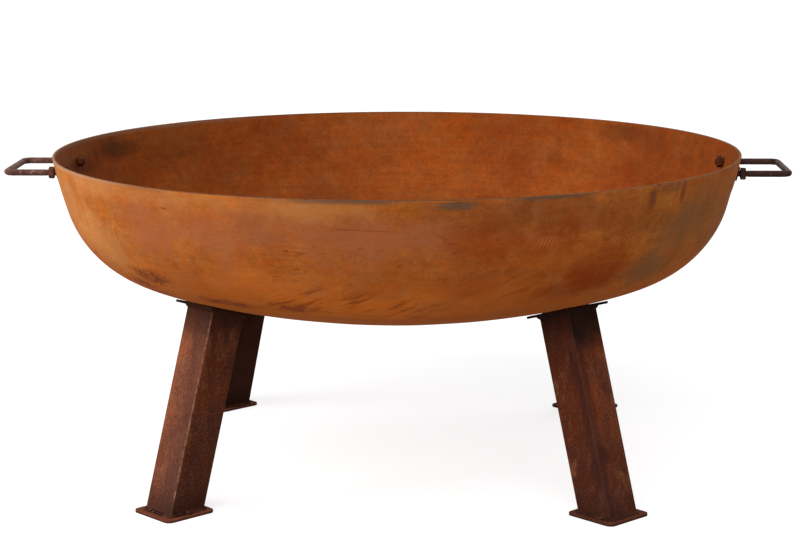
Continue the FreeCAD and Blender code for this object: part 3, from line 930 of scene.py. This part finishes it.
def weld_spatter(name, axes, length, seed, material):
    """Small beads of thrown weld metal, sunk a little into the foot plate round the tube."""
    draw = random.Random(seed)
    shape = bmesh.new()
    limit = FOOT_PLATE_SIDE / 2 - SPATTER_EDGE
    flat = Matrix.Diagonal((1, 1, SPATTER_FLAT, 1))
    for _ in range(SPATTER_COUNT):
        side = draw.choice(((1, 0), (-1, 0), (0, 1), (0, -1)))
        away = (length if side[0] else TUBE_SIDE) / 2 + WELD_LEG + draw.uniform(*SPATTER_REACH)
        away = min(away, limit)
        slide = draw.uniform(-limit + SPATTER_CORNER, limit - SPATTER_CORNER)
        radius = draw.uniform(*SPATTER_RADII)
        x = side[0] * away + side[1] * slide
        y = side[1] * away + side[0] * slide
        spot = Matrix.Translation((x, y, radius * SPATTER_RISE))
        bmesh.ops.create_icosphere(shape, subdivisions=2, radius=radius, matrix=axes @ spot @ flat)
    return dressed(name, settled(shape, bpy.data.meshes.new(name), material), "weld_metal")


def dress_legs(leg, plate, weld):
    stretched = TUBE_SIDE / math.cos(LEAN)
    foot_radius = (CROWN_Z - PLATE_THICKNESS) * math.tan(LEAN)
    down = Vector((0, 0, -1))
    up_the_tube = Vector((-math.tan(LEAN), 0, 1))
    for index, (place, turn) in enumerate(LEG_TURNS.items()):
        under_plate = leg_frame(turn) @ Matrix.Translation((0, 0, -SEAT_GAP - PLATE_THICKNESS))
        weld_bead("top_bead_" + place, under_plate, down, TUBE_SIDE, TUBE_SIDE, index,
                  "leg_top_weld_" + place, weld)
        spin = Matrix.Rotation(math.radians(turn), 4, "Z")
        on_foot = spin @ Matrix.Translation((foot_radius, 0, PLATE_THICKNESS))
        weld_bead("foot_bead_" + place, on_foot, up_the_tube, stretched, TUBE_SIDE, FOOT_BEAD_SEED + index,
                  "leg_foot_weld_" + place, weld)
        weld_spatter("foot_spatter_" + place, on_foot, stretched, SPATTER_SEED + index, weld)
        paint_node("leg_tube_" + place, leg)
        paint_node("leg_top_plate_" + place, plate)
        paint_node("leg_foot_plate_" + place, plate)


# Handles: bent rods, threaded at their ends

def handle_path(end, thread_end, grip):
    """Points along the rod's middle line with their direction, from one threaded end to the other."""
    thread_steps = round((thread_end - end) / THREAD_PITCH * THREAD_STEPS)
    bend_start = grip - ROD_BEND
    straight = HANDLE_HALF - ROD_BEND
    xs = [end + (thread_end - end) * step / thread_steps for step in range(thread_steps)]
    xs += [thread_end + (bend_start - thread_end) * step / PLAIN_STEPS for step in range(PLAIN_STEPS)]
    path = [(Vector((x, -HANDLE_HALF, HANDLE_HEIGHT)), Vector((1, 0, 0))) for x in xs]
    for side, start in ((-1, -90), (1, 0)):
        centre = Vector((bend_start, side * straight, HANDLE_HEIGHT))
        for step in range(BEND_STEPS + 1):
            angle = math.radians(start + 90 * step / BEND_STEPS)
            out = Vector((math.cos(angle), math.sin(angle), 0))
            path.append((centre + out * ROD_BEND, Vector((-out.y, out.x, 0))))
        if side < 0:
            for step in range(1, GRIP_STEPS):
                spot = Vector((grip, -straight + 2 * straight * step / GRIP_STEPS, HANDLE_HEIGHT))
                path.append((spot, Vector((0, 1, 0))))
    path += [(Vector((x, HANDLE_HALF, HANDLE_HEIGHT)), Vector((-1, 0, 0))) for x in reversed(xs)]
    return path


def thread_cut(x, turn, end, thread_end):
    """How deep the thread and the end's chamfer cut into the rod, at a turn from 0 to 1."""
    depth = x - end
    groove = abs((depth / THREAD_PITCH - turn) % 1.0 * 2 - 1)
    fade = min(1.0, max(0.0, (thread_end - x) / THREAD_PITCH))
    return max(THREAD_DEPTH * fade * groove, ROD_CHAMFER - depth)


def make_handle(side, sign, material):
    node = "handle_" + side
    low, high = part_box(node)
    reach = max(abs(low.x), abs(high.x))
    end = min(abs(low.x), abs(high.x))
    nut_low, nut_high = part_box("handle_outer_nuts_" + side)
    thread_end = max(abs(nut_low.x), abs(nut_high.x)) + THREAD_SPARE
    rings = []
    for point, ahead in handle_path(end, thread_end, reach - ROD_RADIUS):
        beside = ahead.cross(Vector((0, 0, 1)))
        ring = []
        for step in range(ROD_SEGMENTS):
            turn = step / ROD_SEGMENTS
            outward = beside * math.cos(2 * math.pi * turn) + Vector((0, 0, math.sin(2 * math.pi * turn)))
            if point.x < thread_end:
                radius = ROD_RADIUS - thread_cut(point.x, turn, end, thread_end)
            else:
                surface = point + outward * ROD_RADIUS
                radius = ROD_RADIUS + ROD_UNEVEN * noise.noise(surface * UNEVEN_SCALE)
            spot = point + outward * radius
            ring.append(Vector((spot.x * sign, spot.y * sign, spot.z)))
        rings.append(ring)
    name = "handle_rod_" + side
    return dressed(name, ring_mesh(name, rings, False, material), "handle_steel", node)


# Camera, floor and light

def make_camera():
    """The photograph's camera, found from the rim, the outline, the legs and the feet."""
    focal = 2077.6
    width = 800
    place = (0.0936, -2.6178, 0.7368)
    yaw = math.radians(-1.975)
    pitch = math.radians(10.916)
    roll = math.radians(-0.173)
    data = bpy.data.cameras.new("camera")
    data.sensor_fit = "HORIZONTAL"
    data.sensor_width = 36.0
    data.lens = focal / width * data.sensor_width
    data.clip_end = 100.0
    ahead = Vector((math.sin(yaw) * math.cos(pitch), math.cos(yaw) * math.cos(pitch), -math.sin(pitch)))
    right = Vector((math.cos(yaw), -math.sin(yaw), 0))
    top = right.cross(ahead)
    tilted_right = right * math.cos(roll) + top * math.sin(roll)
    tilted_top = top * math.cos(roll) - right * math.sin(roll)
    turn = Matrix((tilted_right, tilted_top, -ahead)).transposed().to_4x4()
    camera = placed("camera", data)
    camera.matrix_world = Matrix.Translation(place) @ turn
    bpy.context.scene.camera = camera


def linked(tree, kind, *sources):
    """New node whose first inputs take the given sockets."""
    made = tree.nodes.new(kind)
    for socket, source in zip(made.inputs, sources):
        tree.links.new(source, socket)
    return made


def seen_directly(tree):
    """1 for camera, glossy and transmission rays, else 0."""
    path = tree.nodes.new("ShaderNodeLightPath")
    total = path.outputs["Is Camera Ray"]
    for name in ("Is Glossy Ray", "Is Transmission Ray"):
        larger = linked(tree, "ShaderNodeMath", total, path.outputs[name])
        larger.operation = "MAXIMUM"
        total = larger.outputs[0]
    return total


def make_floor():
    """White floor: it shows white where it is lit, and keeps the object's soft shadow."""
    half = 20.0
    drop = 0.0003
    grey = 0.36
    glow_level = 0.76
    mesh = bpy.data.meshes.new("floor")
    corners = [(-half, -half, 0), (half, -half, 0), (half, half, 0), (-half, half, 0)]
    mesh.from_pydata(corners, [], [(0, 1, 2, 3)])
    floor = placed("floor", mesh)
    floor.location.z = -drop
    material = bpy.data.materials.new("floor_white")
    tree = fresh_tree(material)
    diffuse = tree.nodes.new("ShaderNodeBsdfDiffuse")
    diffuse.inputs["Color"].default_value = (grey, grey, grey, 1.0)
    level = linked(tree, "ShaderNodeMath", seen_directly(tree))
    level.operation = "MULTIPLY"
    level.inputs[1].default_value = glow_level
    glow = tree.nodes.new("ShaderNodeEmission")
    tree.links.new(level.outputs[0], glow.inputs["Strength"])
    both = linked(tree, "ShaderNodeAddShader", diffuse.outputs[0], glow.outputs[0])
    linked(tree, "ShaderNodeOutputMaterial", both.outputs[0])
    mesh.materials.append(material)


def make_world():
    """White where it is seen, with a weaker light on the object."""
    seen_level = 1.0
    ambient_level = 0.25
    world = bpy.data.worlds.new("studio")
    bpy.context.scene.world = world
    tree = fresh_tree(world)
    sources = [seen_directly(tree)]
    for level in (ambient_level, seen_level):
        white = tree.nodes.new("ShaderNodeBackground")
        white.inputs["Color"].default_value = (1.0, 1.0, 1.0, 1.0)
        white.inputs["Strength"].default_value = level
        sources.append(white.outputs[0])
    choice = linked(tree, "ShaderNodeMixShader", *sources)
    linked(tree, "ShaderNodeOutputWorld", choice.outputs[0])


def make_softbox(name, place, aim, size, level):
    """Square soft lamp. At level 1 a white card at the aim, facing the lamp, just shows white."""
    data = bpy.data.lights.new(name, "AREA")
    data.shape = "SQUARE"
    data.size = size
    back = Vector(place) - Vector(aim)
    data.energy = level * (math.pi * back.length) ** 2
    turn = back.to_track_quat("Z", "Y").to_matrix().to_4x4()
    placed(name, data).matrix_world = Matrix.Translation(place) @ turn


def make_skylight(name, towards, spread, level):
    """Even light from a broad patch of sky. Its level is meant as a softbox's is."""
    data = bpy.data.lights.new(name, "SUN")
    data.angle = math.radians(spread)
    data.energy = level * math.pi
    placed(name, data).matrix_world = Vector(towards).to_track_quat("Z", "Y").to_matrix().to_4x4()


# Put it all together

make_camera()
make_floor()
make_world()
make_softbox("key", place=(-1.7, -0.55, 1.0), aim=(-0.35, -0.05, 0.30), size=1.0, level=0.90)
make_skylight("front", towards=(-0.19, -0.78, 0.58), spread=70, level=0.90)
make_skylight("back", towards=(0.40, 0.75, 0.55), spread=80, level=0.40)

outer_hardware = hardware_paint("hardware_oxide", (84, 48, 33), (54, 31, 22), right_shade=0.7, specular=0.10)
inner_hardware = hardware_paint("hardware_rust", (96, 46, 20), (64, 31, 14), right_shade=0.15, specular=0.04)
handle = handle_paint()
make_bowl([bowl_outside_paint(), lip_paint(), bowl_inside_paint()])
dress_legs(leg_paint(), plate_paint(), weld_paint())
for handle_side, handle_sign in HANDLE_SIDES.items():
    make_handle(handle_side, handle_sign, handle)
for node_name in nodes:
    if node_name.startswith(("leg_weld_nut", "handle_outer")):
        paint_node(node_name, outer_hardware)
    elif node_name.startswith(("leg_bolt", "handle_inner")):
        paint_node(node_name, inner_hardware)

bpy.context.scene.view_settings.view_transform = "Standard"
bpy.context.view_layer.update()
